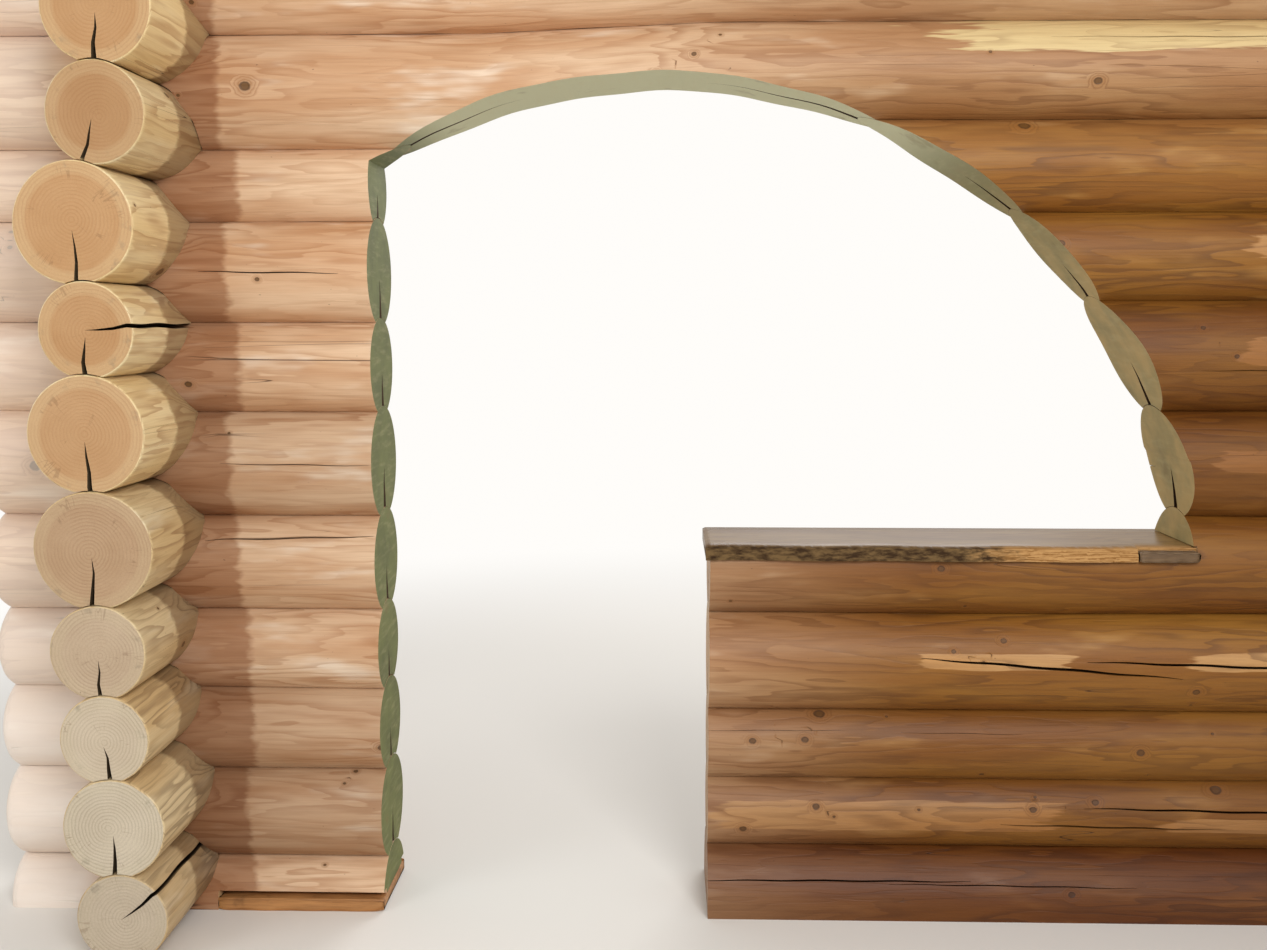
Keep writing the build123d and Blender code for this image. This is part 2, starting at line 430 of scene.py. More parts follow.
def scarf_wedges(log, crossing, groove_half):
    """Two wedges that plane slanting flats off a log's shoulders beside a crossing."""
    centre, radius = log.circle(crossing)
    slant = atan2(sqrt(radius**2 - groove_half**2), groove_half) / 2
    depth = radius * cos(slant)
    reach = 2.2 * radius
    rise = (radius - depth) * reach / scarf_reach
    right = [(reach, depth + rise), (reach, 2 * reach)]
    outline = [(0, depth), *right, (-reach, 2 * reach), (-reach, depth + rise)]
    wedges = []
    for side in (-1, 1):
        rings = []
        for sideways in (-reach, reach):
            points = []
            for along, out in outline:
                across = log.offset + side * (out * cos(slant) - sideways * sin(slant))
                up = centre + out * sin(slant) + sideways * cos(slant)
                points.append(log.place(crossing + along, across, up))
            rings.append(np.array(points))
        wedges.append(mesh_object(f"{log.name}_scarf", *tube(rings), smooth_faces=False))
    return wedges


def check_wedge(log, start, end, angle, inner, mouth, seed, taper=False, tilt=0.0):
    """A jagged wedge along the log, from an inner radius to past the surface.

    Its angle changes by the tilt between the ends. The log keeps its place, to shade it.
    """
    log.checks.append((start, end, angle, inner, mouth / 2 + check_waver, tilt))
    phases = np.random.default_rng(seed).uniform(0, 2 * pi, 6)
    count = max(int((end - start) / check_spacing), 8)
    depths = np.linspace(0, 1, 5)
    rings = []
    for i in range(count + 1):
        t = i / count
        s = start + (end - start) * t
        centre, radius = log.circle(s)
        facing = angle + tilt * (t - 0.5)
        share = max(sin(pi * t), 0.04) ** 0.6 if taper else 1 + 0.15 * sin(7 * s + phases[0])
        drift = 0.006 * sin(3.1 * s + phases[1]) + 0.0018 * sin(31 * s + phases[2])
        left, right = [], []
        for d in depths:
            r = inner + (radius * past_surface - inner) * d
            wobble = 0.0022 * sin(9 * d + phases[3]) + 0.0014 * sin(21 * d + phases[4]) + drift * d
            half = mouth * share / 2 * d**0.75 + 0.00015
            left.append((r, wobble - half))
            right.append((r, wobble + half))
        outline = left + right[::-1]
        points = []
        for r, sideways in outline:
            across = log.offset + r * cos(facing) - sideways * sin(facing)
            up = centre + r * sin(facing) + sideways * cos(facing)
            points.append(log.place(s, across, up))
        rings.append(np.array(points))
    return mesh_object(f"{log.name}_check_cut", *tube(rings), smooth_faces=False)


def opening_cutter():
    """The opening as a solid through the wall, its outline drawn from the jamb over the arch."""
    spring_angle = atan2(sqrt(arch_radius**2 - (jamb_x - arch_centre_x) ** 2), jamb_x - arch_centre_x)
    spring_z = arch_centre_z + arch_radius * sin(spring_angle)
    outline = [(jamb_x, z) for z in np.linspace(-below_floor, spring_z, 24)]
    for a in np.linspace(spring_angle, haunch_angle, 90)[1:]:
        r = arch_radius - (0.0022 * sin(19 * a + 1.0) + 0.0012 * sin(43 * a))
        outline.append((arch_centre_x + r * cos(a), arch_centre_z + r * sin(a)))
    foot_angle = -atan2(haunch_centre_z - counter_low.z, haunch_radius)
    for a in np.linspace(haunch_angle, foot_angle, 24)[1:]:
        outline.append((haunch_centre_x + haunch_radius * cos(a), haunch_centre_z + haunch_radius * sin(a)))
    foot_x = outline[-1][0]
    outline += [(foot_x, counter_low.z), (half_wall_x, counter_low.z), (half_wall_x, -below_floor)]
    rings = [np.array([(x, y, z) for x, z in outline]) for y in (through_wall, -through_wall)]
    return mesh_object("opening_cut", *tube(rings), smooth_faces=False)


def sole_cutters():
    """Room for the board under the pier, with the shadow line over it on each side."""
    low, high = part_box("pier_sole_plate")
    right = high.x + past_pier
    over = high.z + sole_shadow_height
    front, back = low.y + sole_shadow_depth, high.y - sole_shadow_depth
    foot = (low.x, -past_pier, -under_sole)
    return [
        box_cutter("sole_room_cut", foot, (right, past_pier, high.z + sole_fit)),
        box_cutter("sole_shadow_front_cut", (low.x, -past_pier, high.z), (right, front, over)),
        box_cutter("sole_shadow_back_cut", (low.x, back, high.z), (right, past_pier, over)),
    ]


def box_cutter(name, low, high):
    """A plain block to cut with."""
    corners = ((low[1], low[2]), (high[1], low[2]), (high[1], high[2]), (low[1], high[2]))
    rings = [np.array([(x, y, z) for y, z in corners]) for x in (low[0], high[0])]
    return mesh_object(name, *tube(rings), smooth_faces=False)


# The logs, read from the frame
def wall_log(number, left_node, right_node, name, start, end):
    """A log of the wall, whose size may change over the walkway."""
    left = node_points(left_node)
    right = node_points(right_node)
    left_circle = circle_of(left[left[:, 0] < jamb_x - plain_margin], 1)
    right_circle = circle_of(right[right[:, 0] > plain_right_x], 1)
    if left_node != right_node:
        left_circle = right_circle = left_circle if name == left_node else right_circle
    circles = ((taper_start_x, *left_circle), (half_wall_x, *right_circle))
    return Log(name, number, "X", start, end, 0.0, circles)


def corner_log(number, name):
    """A log of a crossing wall."""
    low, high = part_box(name)
    circle = circle_of(node_points(name), 0)
    circles = ((-1.0, *circle), (1.0, *circle))
    return Log(name, number, "Y", -high.y, -low.y, (low.x + high.x) / 2, circles)


def side_of(thing):
    """The corner, left or right, that a crossing log or its former belongs to."""
    return thing.name.split("_")[0]


# Last course with a counter log, with logs on both sides of the opening, and with crossing
# logs. The number of a log is its course and a step, and gives its random draws
last_counter_course = 5
last_jamb_course = 9
last_corner_course = 10
right_step = 20
corner_steps = {"left": 40, "right": 60}

courses = []
for course in range(1, last_corner_course + 2):
    row = []
    if course <= last_jamb_course:
        right_kind = "half_wall_log" if course <= last_counter_course else "arch_log"
        right_name = f"{right_kind}_{course}"
        pier_name = f"pier_log_{course}"
        low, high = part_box(pier_name)
        row.append(wall_log(course, pier_name, right_name, pier_name, low.x, high.x + into_opening))
        low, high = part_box(right_name)
        number = right_step + course
        row.append(wall_log(number, pier_name, right_name, right_name, low.x - into_opening, high.x))
    else:
        name = "header_log" if course == last_corner_course else "top_log"
        low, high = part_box(name)
        row.append(wall_log(course, name, name, name, low.x, high.x))
    corners = []
    if course <= last_corner_course:
        for side, step in corner_steps.items():
            corners.append(corner_log(step + course, f"{side}_corner_log_{course}"))
    courses.append((row, corners))

# Long open checks on the faces of logs: node, from, to, angle round the log, depth, mouth, tilt
face_checks = [
    ("half_wall_log_4", 0.27, 0.95, pi - 0.03, 0.05, 0.010, 0.30),
    ("half_wall_log_4", 0.70, 1.40, pi - 0.09, 0.05, 0.009, 0.10),
    ("half_wall_log_2", 0.50, 1.10, pi + 0.16, 0.04, 0.007, 0.04),
    ("half_wall_log_2", 0.72, 1.45, pi - 0.24, 0.04, 0.008, 0.05),
    ("half_wall_log_1", -0.31, 0.42, pi - 0.51, 0.03, 0.008, -0.05),
    ("half_wall_log_1", 0.20, 0.86, pi - 0.45, 0.03, 0.005, 0.0),
    ("half_wall_log_3", -0.30, 0.07, pi - 0.44, 0.02, 0.002, 0.0),
    ("half_wall_log_3", 0.23, 0.55, pi - 0.42, 0.02, 0.002, 0.04),
    ("half_wall_log_5", 0.30, 0.75, pi - 0.35, 0.03, 0.004, 0.0),
    ("arch_log_7", 0.95, 1.40, pi + 0.2, 0.03, 0.005, 0.0),
    ("pier_log_5", -1.62, -1.17, pi - 0.56, 0.05, 0.008, -0.12),
    ("pier_log_6", -1.56, -1.17, pi - 0.05, 0.03, 0.004, 0.0),
    ("pier_log_8", -1.60, -1.24, pi + 0.02, 0.04, 0.005, 0.0),
    ("header_log", 0.55, 1.25, pi - 0.55, 0.03, 0.005, 0.0),
    ("half_wall_log_3", 0.1, 0.8, 0.3, 0.05, 0.008, 0.05),
    ("pier_log_4", -2.1, -1.5, 0.2, 0.05, 0.007, 0.05),
    ("arch_log_6", 0.9, 1.5, -0.2, 0.05, 0.007, 0.05),
]
# Checks from the pith to the side of a crossing log, at an angle in degrees
side_checks = {"left_corner_log_1": 35.0, "left_corner_log_7": 2.0}

made = []
opening = opening_cutter()
underfloor = box_cutter("underfloor_cut", (-3, -1, -1), (3, 1, 0))
slab_room = box_cutter("slab_room_cut", counter_low - fit, counter_high + fit)
block_low, block_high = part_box("counter_edge_block")
block_room = box_cutter("block_room_cut", block_low - fit, block_high + fit)
wall_formers = []
corner_formers = []
corners_below = {}
for course, (row, corners) in enumerate(courses, 1):
    under_cut = [underfloor] if course == 1 else []
    new_wall_formers = []
    for log in row:
        piece = log.body(wall_end_rounding)
        wedges = []
        for corner in corners:
            if log.start < corner.offset < log.end:
                wedges += scarf_wedges(log, corner.offset, wall_groove_half)
        new_wall_formers.append(log.former(wedges))
        checks = []
        if course > 1:
            reach = (log.start - check_overrun, log.end + check_overrun)
            checks.append(check_wedge(log, *reach, -pi / 2, check_depth, check_mouth["X"], log.number))
        for node, start, end, angle, depth, mouth, tilt in face_checks:
            if node == log.name:
                inner = log.circle(start)[1] - depth
                seed = face_check_seed + len(checks)
                checks.append(check_wedge(log, start, end, angle, inner, mouth, seed, True, tilt))
        rooms = [opening, slab_room, block_room]
        soles = sole_cutters() if log.name == "pier_log_1" else []
        carve(piece, wall_formers + corner_formers + wedges + checks + rooms + soles + under_cut)
        made.append((log, piece))
        discard(wedges + checks + soles)
    new_corner_formers = []
    for corner in corners:
        piece = corner.body(corner_end_rounding)
        wedges = scarf_wedges(corner, 0.0, corner_groove_half)
        near = [f for f, log in zip(new_wall_formers, row) if log.start < corner.offset < log.end]
        below = [f for f in corner_formers if side_of(f) == side_of(corner)]
        new_corner_formers.append(corner.former(wedges))
        under = corners_below.get(side_of(corner))
        lean = -pi / 2
        if under:
            lean = atan2(under.circle(0)[0] - corner.circle(0)[0], under.offset - corner.offset)
        checks = []
        reach = (corner.start - check_overrun, corner.end + check_overrun)
        if course > 1:
            checks.append(check_wedge(corner, *reach, lean, check_depth, check_mouth["Y"], corner.number))
        if corner.name in side_checks:
            angle = radians(side_checks[corner.name])
            checks.append(check_wedge(corner, *reach, angle, 0.0, side_check_mouth, side_check_seed))
        carve(piece, near + below + wedges + checks + under_cut)
        made.append((corner, piece))
        discard(wedges + checks)
    corners_below = {side_of(corner): corner for corner in corners}
    discard(wall_formers)
    discard(corner_formers)
    wall_formers = new_wall_formers
    corner_formers = new_corner_formers
discard(wall_formers + corner_formers + [opening, slab_room, block_room, underfloor])


# Materials
class Graph:
    """Short calls for the nodes of a material."""

    def __init__(self, name):
        self.material = bpy.data.materials.new(name)
        self.material.use_nodes = True
        self.tree = self.material.node_tree
        self.shader = self.tree.nodes["Principled BSDF"]

    def put(self, value, socket):
        if isinstance(value, bpy.types.NodeSocket):
            self.tree.links.new(value, socket)
        else:
            socket.default_value = value

    def coordinates(self):
        return self.tree.nodes.new("ShaderNodeTexCoord").outputs["Object"]

    def attribute(self, name):
        node = self.tree.nodes.new("ShaderNodeAttribute")
        node.attribute_name = name
        return node.outputs["Vector"]

    def split(self, vector):
        node = self.tree.nodes.new("ShaderNodeSeparateXYZ")
        self.put(vector, node.inputs[0])
        return node.outputs[0], node.outputs[1], node.outputs[2]

    def join(self, x, y, z):
        node = self.tree.nodes.new("ShaderNodeCombineXYZ")
        for value, socket in zip((x, y, z), node.inputs):
            self.put(value, socket)
        return node.outputs[0]

    def math(self, operation, a, b=0.0):
        node = self.tree.nodes.new("ShaderNodeMath")
        node.operation = operation
        for value, socket in zip((a, b), node.inputs):
            self.put(value, socket)
        return node.outputs[0]

    def plus(self, a, b):
        return self.math("ADD", a, b)

    def minus(self, a, b):
        return self.math("SUBTRACT", a, b)

    def times(self, a, b):
        return self.math("MULTIPLY", a, b)

    def length(self, a, b):
        return self.math("SQRT", self.plus(self.times(a, a), self.times(b, b)))

    def noise(self, vector, scales, detail=2.0, roughness=0.5):
        """Noise in a stretched space, where the last scale also serves for an axis without one."""
        stretch = self.tree.nodes.new("ShaderNodeVectorMath")
        stretch.operation = "MULTIPLY"
        self.put(vector, stretch.inputs[0])
        stretch.inputs[1].default_value = (*scales, scales[-1])[:3]
        node = self.tree.nodes.new("ShaderNodeTexNoise")
        self.put(stretch.outputs[0], node.inputs["Vector"])
        for key, value in (("Scale", 1.0), ("Detail", detail), ("Roughness", roughness)):
            node.inputs[key].default_value = value
        return node.outputs["Fac"]

    def fade(self, value, low, high, bottom=0.0, top=1.0):
        node = self.tree.nodes.new("ShaderNodeMapRange")
        node.interpolation_type = "SMOOTHSTEP"
        self.put(value, node.inputs["Value"])
        for key, part in (("From Min", low), ("From Max", high), ("To Min", bottom), ("To Max", top)):
            self.put(part, node.inputs[key])
        return node.outputs["Result"]

    def fall(self, value, low, high):
        return self.fade(value, low, high, 1.0, 0.0)

    def mix(self, share, first, second, blend="MIX"):
        node = self.tree.nodes.new("ShaderNodeMix")
        node.data_type = "RGBA"
        node.blend_type = blend
        self.put(share, node.inputs[0])
        for value, socket in ((first, node.inputs[6]), (second, node.inputs[7])):
            self.put(colour(value) if isinstance(value, str) else value, socket)
        return node.outputs[2]

    def bump(self, height, strength, distance):
        node = self.tree.nodes.new("ShaderNodeBump")
        node.inputs["Strength"].default_value = strength
        node.inputs["Distance"].default_value = distance
        self.put(height, node.inputs["Height"])
        return node.outputs["Normal"]

    def finish(self, base, roughness, normal=None):
        self.put(base, self.shader.inputs["Base Color"])
        self.put(roughness, self.shader.inputs["Roughness"])
        if normal is not None:
            self.put(normal, self.shader.inputs["Normal"])
        return self.material


def colour(code):
    """Linear colour from a hexadecimal sRGB code."""
    parts = [int(code[i : i + 2], 16) / 255 for i in (0, 2, 4)]
    return tuple(p / 12.92 if p <= 0.04045 else ((p + 0.055) / 1.055) ** 2.4 for p in parts) + (1.0,)


def log_wood(name, axis, warm, pale, patch, streaks, ends, gloss):
    """Wood of a peeled log, drawn in the solid so that cuts show its rings.

    The attributes on the mesh give the place in the log, the nearest knot, and how far
    the nearest crossing is.
    """
    g = Graph(name)
    grain = g.attribute("grain")
    _, middle_across, middle_up = g.split(grain)
    pith_across, pith_up, pallor = g.split(g.attribute("pith"))
    pale_strip, paleness, check_shade = g.split(g.attribute("strip"))
    across = g.minus(middle_across, pith_across)
    up = g.minus(middle_up, pith_up)
    pith_distance = g.length(across, up)
    crossing, corner_shade_edge, full_radius = g.split(g.attribute("look"))
    rim = g.minus(full_radius, g.length(middle_across, middle_up))
    tint, seed, shade_and_brown = g.split(g.attribute("tone"))
    knot_along, knot_across, knot_size = g.split(g.attribute("knot"))

    # Knots, and the grain that flows round them
    knot_x = g.math("DIVIDE", knot_along, knot_size)
    knot_y = g.math("DIVIDE", knot_across, knot_size)
    knot_place = g.join(knot_x, knot_y, seed)
    knot_waver = g.times(g.minus(g.noise(knot_place, (1.3, 1.3, 1.0)), 0.5), 0.5)
    knot_reach = g.plus(g.length(knot_x, g.math("DIVIDE", knot_y, 0.85)), knot_waver)
    knot_core = g.fall(knot_reach, 0.72, 0.95)
    knot_rim = g.times(g.fade(knot_reach, 0.6, 0.9), g.fall(knot_reach, 0.95, 1.25))
    knot_halo = g.fall(knot_reach, 0.9, 3.2)

    # Growth rings, which run out as long loops where the surface is cut
    slow = g.noise(grain, (1.7, 13.0))
    ripple = g.noise(grain, (5.0, 42.0))
    swirl = g.times(g.minus(slow, 0.5), 0.036)
    swirl = g.plus(swirl, g.times(g.minus(ripple, 0.5), 0.007))
    geometry = g.tree.nodes.new("ShaderNodeNewGeometry")
    facing = g.split(geometry.outputs["Normal"])[{"X": 0, "Y": 1}[axis]]
    is_end = g.fade(g.math("ABSOLUTE", facing), 0.90, 0.97)
    on_side = g.minus(1.0, is_end)
    swirl = g.times(swirl, g.fade(is_end, 0.0, 1.0, 1.0, 0.35))
    swirl = g.plus(swirl, g.times(g.times(knot_halo, 0.012), on_side))
    ring_width = g.fade(is_end, 0.0, 1.0, 0.0052, 0.0085)
    ring = g.math("FRACT", g.math("DIVIDE", g.plus(pith_distance, swirl), ring_width))
    late = g.times(g.fade(ring, 0.35, 0.93), g.fall(ring, 0.93, 1.0))
    ring_strength = g.noise(grain, (2.1, 9.0), 1.0)

    # Fibre streaks, broad tones, and sanded patches
    fibre = g.noise(grain, (9.0, 330.0), 3.0, 0.6)
    streak = g.noise(grain, (2.4, 62.0), 3.0, 0.6)
    broad = g.noise(grain, (1.4, 8.0), 3.0, 0.55)
    sanded = g.noise(grain, (2.6, 11.0), 3.0, 0.6)
    specks = g.noise(grain, (75.0, 160.0), 1.0)

    tone = g.fade(broad, 0.34, 0.68)
    # Towards the right the second, browner colours come in, partly as painted shade
    side = g.mix(shade_and_brown, g.mix(tone, warm[0], pale[0]), g.mix(tone, warm[1], pale[1]))
    side = g.mix(g.times(g.fade(sanded, 0.56, 0.74), 0.75), side, g.mix(shade_and_brown, *patch))
    side = g.mix(g.times(g.fade(streak, 0.5, 0.72), 0.30), side, g.mix(shade_and_brown, *streaks))
    ragged = g.noise(grain, (4.0, 60.0), 3.0, 0.6)
    strip_edge = g.times(g.minus(ragged, 0.5), 1.5)
    strip = g.fade(g.plus(pale_strip, strip_edge), 0.05, 0.22)
    tone = g.fade(broad, 0.3, 0.7)
    gold = g.mix(tone, "e2b67c", "cc9254")
    cream = g.mix(tone, "d8c08c", "cbae78")
    strip_colour = g.mix(g.fade(paleness, 0.62, 0.9), gold, cream)
    side = g.mix(g.times(strip, paleness), side, strip_colour)

    # End grain
    sap = g.fall(g.plus(rim, g.times(swirl, 0.4)), 0.028, 0.042)
    end = g.mix(shade_and_brown, ends[0], ends[1])
    end = g.mix(g.fade(broad, 0.3, 0.7, 0.0, 0.5), end, g.mix(shade_and_brown, ends[2], ends[3]))
    end = g.mix(g.times(sap, 0.35), end, g.mix(shade_and_brown, "d9bd90", "ccc0a6"))
    edge = g.fall(rim, 0.0015, 0.0055)
    end = g.mix(g.times(edge, 0.7), end, "ecdcba")
    round_pith = g.join(g.math("ARCTAN2", across, up), pith_distance, seed)
    ray_line = g.noise(round_pith, (6.0, 9.0, 1.0), 1.0)
    ray_zone = g.noise(round_pith, (1.6, 14.0, 1.0), 1.0)
    stain = g.fade(g.noise(grain, (3.0, 19.0), 4.0, 0.65), 0.56, 0.70)
    stain = g.times(stain, g.fall(rim, 0.004, 0.045))
    end = g.mix(g.times(stain, 0.45), end, "75705f")
    base = g.mix(is_end, side, end)

    # Rings over both, fainter on the ends
    ring_share = g.times(late, g.fade(ring_strength, 0.3, 0.65, 0.10, 0.46))
    ring_share = g.times(ring_share, g.fade(is_end, 0.0, 1.0, 1.0, 0.45))
    base = g.mix(ring_share, base, g.mix(shade_and_brown, "9c6334", "4f2c12"))
    base = g.mix(g.fade(fibre, 0.3, 0.8, 0.0, 0.16), base, g.mix(shade_and_brown, "8f5c33", "43260f"))

    # The darker band next to each crossing: painted shade of the inner corner, partly the unsanded wood
    # there
    torn = g.noise(grain, (9.0, 22.0), 3.0, 0.7)
    waver = g.times(g.minus(torn, 0.5), 0.07)
    corner_shade_band = g.times(g.fall(g.minus(g.plus(crossing, waver), corner_shade_edge), -0.010, 0.014), on_side)
    corner_shade_colour = {"X": "a87a50", "Y": "8a6c50"}[axis]
    base = g.mix(g.times(corner_shade_band, 0.62), base, g.mix(1.0, base, corner_shade_colour, "MULTIPLY"))

    # Knots, hair checks and specks; then the darker logs, the pale ends, and painted shade inside the
    # checks
    knot_parts = ((knot_halo, 0.35, "93602c"), (knot_core, 0.85, "5e3f1c"), (knot_rim, 0.7, "35200f"))
    for part, share, shade in knot_parts:
        base = g.mix(g.times(g.times(part, on_side), share), base, shade)
    line = g.noise(grain, (0.55, 26.0), 0.0, 0.4)
    hair = g.fall(g.math("ABSOLUTE", g.minus(line, 0.5)), 0.0005, 0.0028)
    hair_zone = g.fade(g.noise(grain, (1.2, 6.0), 1.0), 0.56, 0.64)
    hair = g.times(g.times(hair, hair_zone), on_side)
    base = g.mix(g.times(hair, 0.75), base, "3a2414")
    base = g.mix(g.fade(specks, 0.79, 0.84, 0.0, 0.6), base, "4b3220")
    ray = g.fall(g.math("ABSOLUTE", g.minus(ray_line, 0.5)), 0.004, 0.022)
    ray = g.times(g.times(ray, g.fade(ray_zone, 0.60, 0.66)), is_end)
    base = g.mix(g.times(ray, 0.3), base, "6b482c")
    darkening = g.mix(g.times(tint, 0.6), "ffffff", g.mix(shade_and_brown, "9c8a74", "8a5622"))
    base = g.mix(1.0, base, darkening, "MULTIPLY")
    base = g.mix(g.times(pallor, g.fade(broad, 0.25, 0.7, 1.0, 0.72)), base, "f3e9df")
    # Painted shade inside the checks
    base = g.mix(g.times(g.times(check_shade, on_side), 0.9), base, "24160d")

    height = g.times(late, -0.5)
    for part, share in ((fibre, 0.8), (streak, 0.9), (knot_core, -1.0), (hair, -2.5)):
        height = g.plus(height, g.times(part, share))
    g.shader.inputs["IOR"].default_value = wood_gloss
    roughness = g.fade(sanded, 0.5, 0.75, gloss, gloss - 0.12)
    return g.finish(base, roughness, g.bump(height, 0.55, 0.0011))


def sage_paint():
    """Sage paint on the sawn faces of the opening, thinner and paler over the arch."""
    g = Graph("sage_paint")
    coordinates = g.coordinates()
    x, _, z = g.split(coordinates)
    over = g.times(g.fade(x, -1.15, -0.95), g.fall(x, 0.15, 0.6))
    over = g.times(over, g.fade(z, 1.9, 2.1))
    right = g.fade(x, 0.15, 0.75)
    brush = g.noise(coordinates, (55.0, 9.0, 55.0), 3.0, 0.6)
    blotch = g.noise(coordinates, (9.0, 9.0), 3.0, 0.6)
    tone = g.fade(blotch, 0.3, 0.7)
    base = g.mix(tone, "5c6036", "6e7241")
    base = g.mix(over, base, "cccba8")
    base = g.mix(right, base, g.mix(tone, "bba06a", "9d8d5e"))
    base = g.mix(g.fade(brush, 0.45, 0.8, 0.0, 0.22), base, "c9bd92")
    base = g.mix(g.fade(blotch, 0.62, 0.74, 0.0, 0.35), base, "77613e")
    normal = g.bump(g.plus(brush, g.times(blotch, 0.6)), 0.5, 0.0012)
    g.shader.inputs["IOR"].default_value = paint_gloss
    return g.finish(base, 0.65, normal)


def slab_wood():
    """Varnished slab with a dark bark edge."""
    g = Graph("varnished_slab")
    coordinates = g.coordinates()
    x, y, _ = g.split(coordinates)
    is_bark = g.split(g.attribute("bark"))[0]
    slow = g.noise(coordinates, (1.6, 9.0), 3.0)
    rings = g.math("FRACT", g.plus(g.times(slow, 13.0), g.times(y, 24.0)))
    late = g.times(g.fade(rings, 0.3, 0.92), g.fall(rings, 0.92, 1.0))
    fibre = g.noise(coordinates, (9.0, 260.0), 3.0, 0.6)
    top = g.mix(g.fade(slow, 0.3, 0.7), "86693e", "6c4e2a")
    top = g.mix(g.times(late, 0.45), top, "5c3d1e")
    top = g.mix(g.fade(fibre, 0.4, 0.8, 0.0, 0.25), top, "4d3219")
    rough = g.noise(coordinates, (26.0, 60.0, 90.0), 4.0, 0.65)
    edge = g.mix(g.fade(rough, 0.35, 0.65), "38281a", "6d5638")
    bare = g.fade(g.plus(x, g.times(rough, 0.3)), 0.52, 0.70, 0.0, 0.85)
    edge = g.mix(bare, edge, g.mix(g.fade(fibre, 0.4, 0.65), "c29560", "8f6436"))
    base = g.mix(is_bark, top, edge)
    furrows = g.times(g.times(rough, is_bark), 2.5)
    height = g.plus(g.times(fibre, 0.15), furrows)
    g.shader.inputs["IOR"].default_value = varnish_gloss
    return g.finish(base, g.fade(is_bark, 0.0, 1.0, 0.30, 0.8), g.bump(height, 0.5, 0.0012))


def board_wood(name, light, dark, stain):
    """Old sawn wood of a small board or block."""
    g = Graph(name)
    coordinates = g.coordinates()
    slow = g.noise(coordinates, (3.0, 30.0), 3.0, 0.55)
    fibre = g.noise(coordinates, (14.0, 300.0), 3.0, 0.6)
    worn = g.noise(coordinates, (16.0, 16.0), 3.0, 0.6)
    base = g.mix(g.fade(slow, 0.3, 0.7), light, dark)
    base = g.mix(g.fade(fibre, 0.4, 0.8, 0.0, 0.4), base, stain)
    base = g.mix(g.fade(worn, 0.55, 0.75, 0.0, 0.5), base, stain)
    return g.finish(base, 0.6, g.bump(g.plus(fibre, slow), 0.6, 0.0015))


# Colours, in pairs for the light left side and the browner right side of the wall; the right side's
# darkness is partly painted shade
wall_wood = log_wood(
    "wall_log_wood",
    "X",
    ("c99e78", "87551c"),
    ("dfbf9e", "9a6a28"),
    ("f0dfca", "b28344"),
    ("a87a50", "5e3a18"),
    ("d2a878", "c79a66", "dfc198", "d3ae7c"),
    0.5,
)
corner_wood = log_wood(
    "corner_log_wood",
    "Y",
    ("ead09a", "d4b888"),
    ("f4e2b4", "e0cca2"),
    ("faf0cc", "ecdfc0"),
    ("b8925a", "a8875a"),
    ("b98e60", "c8bba4", "c59d70", "d8ccb6"),
    0.52,
)
paint = sage_paint()


def store(mesh, name, *parts):
    """Writes a vector for each point of a mesh, from arrays or single numbers."""
    values = np.zeros((len(mesh.vertices), 3), np.float32)
    for column, part in enumerate(parts):
        values[:, column] = part
    layer = mesh.attributes.new(name, "FLOAT_VECTOR", "POINT")
    layer.data.foreach_set("vector", values.ravel())


def turn_between(angle, facing):
    """How far an angle lies from another, from -pi to pi."""
    return (angle - facing + pi) % (2 * pi) - pi


def mark(log, piece):
    """Gives the material its place in the log, the nearest knot and the look of each point."""
    mesh = piece.data
    x, y, z = vectors(mesh.vertices, "co").T
    s, across = (x, y - log.offset) if log.axis == "X" else (-y, x - log.offset)
    centre, full = log.circle(s)
    up = z - centre
    store(mesh, "grain", s + grain_shift * log.number, across, up)

    angle = np.arctan2(up, across)
    best = np.full((len(s), 3), 9.0)
    best[:, 2] = 0.01
    nearest = np.full(len(s), 9.0)
    for place, facing, size in log.knots:
        turn = turn_between(angle, facing)
        away = np.hypot(s - place, turn * full) / size
        closer = away < nearest
        nearest = np.where(closer, away, nearest)
        knot = np.stack([s - place, turn * full, np.full(len(s), size)], 1)
        best = np.where(closer[:, None], knot, best)
    store(mesh, "knot", *best.T)

    # The band near each crossing is painted shade of the inner corner
    if log.axis == "X":
        crossing = np.minimum(np.abs(s - left_corner_x), np.abs(s - right_corner_x))
        bulge = np.abs(across) / full
        corner_shade_band = np.where(s < left_corner_x, -1.0, log.corner_shade_band + 0.05 * (bulge - 0.75))
    else:
        crossing = np.abs(s)
        corner_shade_band = log.corner_shade_band
    store(mesh, "look", crossing, corner_shade_band, full)

    strip = np.full(len(s), -1.0)
    paleness, check_shade = np.zeros((2, len(s)))
    for node, start, end, facing, reach, share in pale_strips:
        if node == log.name:
            sideways = np.abs(turn_between(angle, facing)) * full / reach
            lengthways = np.abs(s - (start + end) / 2) / ((end - start) / 2)
            pale = 1 - np.maximum(sideways, lengthways) ** 2
            paleness = np.where(pale > strip, share, paleness)
            strip = np.maximum(strip, pale)
    # Points inside a check get painted shade
    for start, end, facing, inner, reach, tilt in log.checks:
        facing = facing + tilt * ((s - start) / (end - start) - 0.5)
        sideways = up * np.cos(facing) - across * np.sin(facing)
        outward = across * np.cos(facing) + up * np.sin(facing)
        inside = (np.abs(sideways) < reach) & (outward > inner - 0.003) & (s > start) & (s < end)
        inside &= np.hypot(across, up) < full - check_shadow_depth
        check_shade = np.maximum(check_shade, inside)
    store(mesh, "strip", strip, paleness, check_shade)

    if log.axis == "X":
        low_down = 1 - smooth(*pale_heights, z)
        pallor = (1 - smooth(*pale_ends, s)) * (0.5 + 0.46 * low_down)
        tint = log.tint * smooth(left_corner_x - 0.1, left_corner_x + 0.1, s)
        # Painted shade: the wall darkens and browns to the right, where the light falls off
        shade_and_brown = smooth(*shade_and_brown_places, s) * (1 - 0.45 * smooth(*shade_and_brown_heights, z))
    else:
        pallor, tint, shade_and_brown = 0, log.tint, 1 - smooth(0.35, 1.5, centre.mean())
    store(mesh, "pith", *log.pith, pallor)
    store(mesh, "tone", tint, log.number, shade_and_brown)


